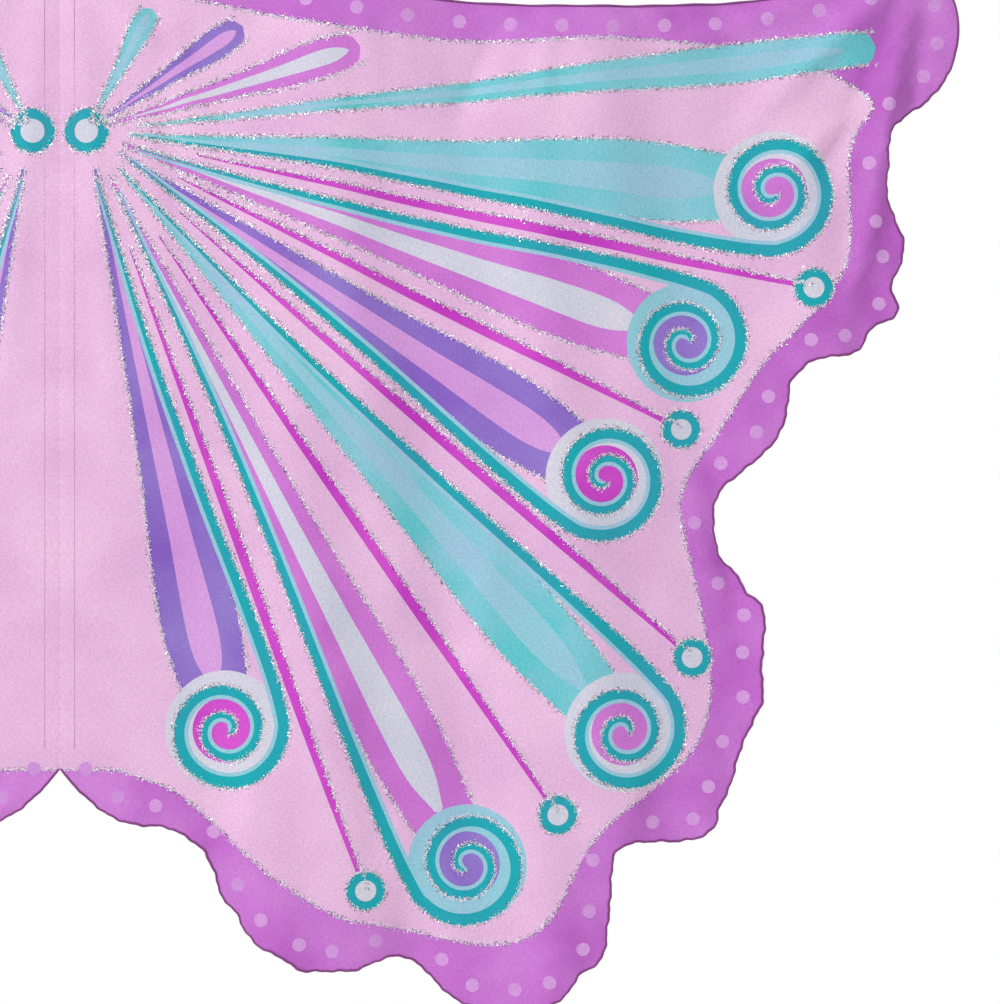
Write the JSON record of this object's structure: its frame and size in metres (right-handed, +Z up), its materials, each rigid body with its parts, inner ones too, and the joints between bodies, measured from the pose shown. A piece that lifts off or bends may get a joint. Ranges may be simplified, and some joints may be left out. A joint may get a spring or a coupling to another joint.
{
  "type": "fairy wings",
  "caption": "Soft printed fabric butterfly wings with a scalloped rolled hem, elastic shoulder loops and elastic wrist loops, worn on the back.",
  "frame": {"origin": "middle of the neck edge, where the wings rest on the nape of the wearer's neck", "axes": "+X towards the viewer's right of the printed face, -Y out of the printed face, +Y towards the wearer, +Z up"},
  "size_m": [1.206, 0.0759, 0.7114],
  "materials": {
    "printed_cloth": "satin",
    "hem_thread": "satin",
    "elastic": "matte",
    "seam_tape": "matte",
    "tack_thread": "satin",
    "label_satin": "satin"
  },
  "bodies": {
    "back": {"back_seam_tape": "seam_tape", "care_label": "label_satin", "right_wing_base": "printed_cloth", "right_base_hem": "hem_thread", "right_strap_patches": "seam_tape", "right_strap_tacks": "tack_thread", "left_wing_base": "printed_cloth", "left_base_hem": "hem_thread", "left_strap_patches": "seam_tape", "left_strap_tacks": "tack_thread"},
    "right_wing": {"right_wing_middle": "printed_cloth", "right_middle_hem": "hem_thread"},
    "right_tip": {"right_wing_tip": "printed_cloth", "right_tip_hem": "hem_thread", "right_wrist_tacks": "tack_thread"},
    "right_strap": {"right_shoulder_elastic": "elastic"},
    "right_wrist_loop": {"right_wrist_elastic": "elastic"},
    "left_wing": {"left_wing_middle": "printed_cloth", "left_middle_hem": "hem_thread"},
    "left_tip": {"left_wing_tip": "printed_cloth", "left_tip_hem": "hem_thread", "left_wrist_tacks": "tack_thread"},
    "left_strap": {"left_shoulder_elastic": "elastic"},
    "left_wrist_loop": {"left_wrist_elastic": "elastic"}
  },
  "joints": [
    {"name": "right_flap", "type": "hinge", "parent": "back", "child": "right_wing", "pos_m": [0.07, 0, -0.3], "axis": [0, 0, 1], "range_deg": [-30, 60]},
    {"name": "right_tip_fold", "type": "hinge", "parent": "right_wing", "child": "right_tip", "pos_m": [0.33, 0, -0.35], "axis": [0, 0, 1], "range_deg": [-50, 50]},
    {"name": "right_strap_swing", "type": "hinge", "parent": "back", "child": "right_strap", "pos_m": [0.056, 0.006, -0.125], "axis": [0, 0, 1], "range_deg": [-45, 30], "stiffness_Nm_per_rad": 0.004},
    {"name": "right_wrist_loop_swing", "type": "hinge", "parent": "right_tip", "child": "right_wrist_loop", "pos_m": [0.545, 0.0025, -0.03], "axis": [1, 0, 0], "range_deg": [0, 110]},
    {"name": "left_flap", "type": "hinge", "parent": "back", "child": "left_wing", "pos_m": [-0.07, 0, -0.3], "axis": [0, 0, -1], "range_deg": [-30, 60]},
    {"name": "left_tip_fold", "type": "hinge", "parent": "left_wing", "child": "left_tip", "pos_m": [-0.33, 0, -0.35], "axis": [0, 0, -1], "range_deg": [-50, 50]},
    {"name": "left_strap_swing", "type": "hinge", "parent": "back", "child": "left_strap", "pos_m": [-0.056, 0.006, -0.125], "axis": [0, 0, -1], "range_deg": [-45, 30], "stiffness_Nm_per_rad": 0.004},
    {"name": "left_wrist_loop_swing", "type": "hinge", "parent": "left_tip", "child": "left_wrist_loop", "pos_m": [-0.545, 0.0025, -0.03], "axis": [1, 0, 0], "range_deg": [0, 110]}
  ]
}
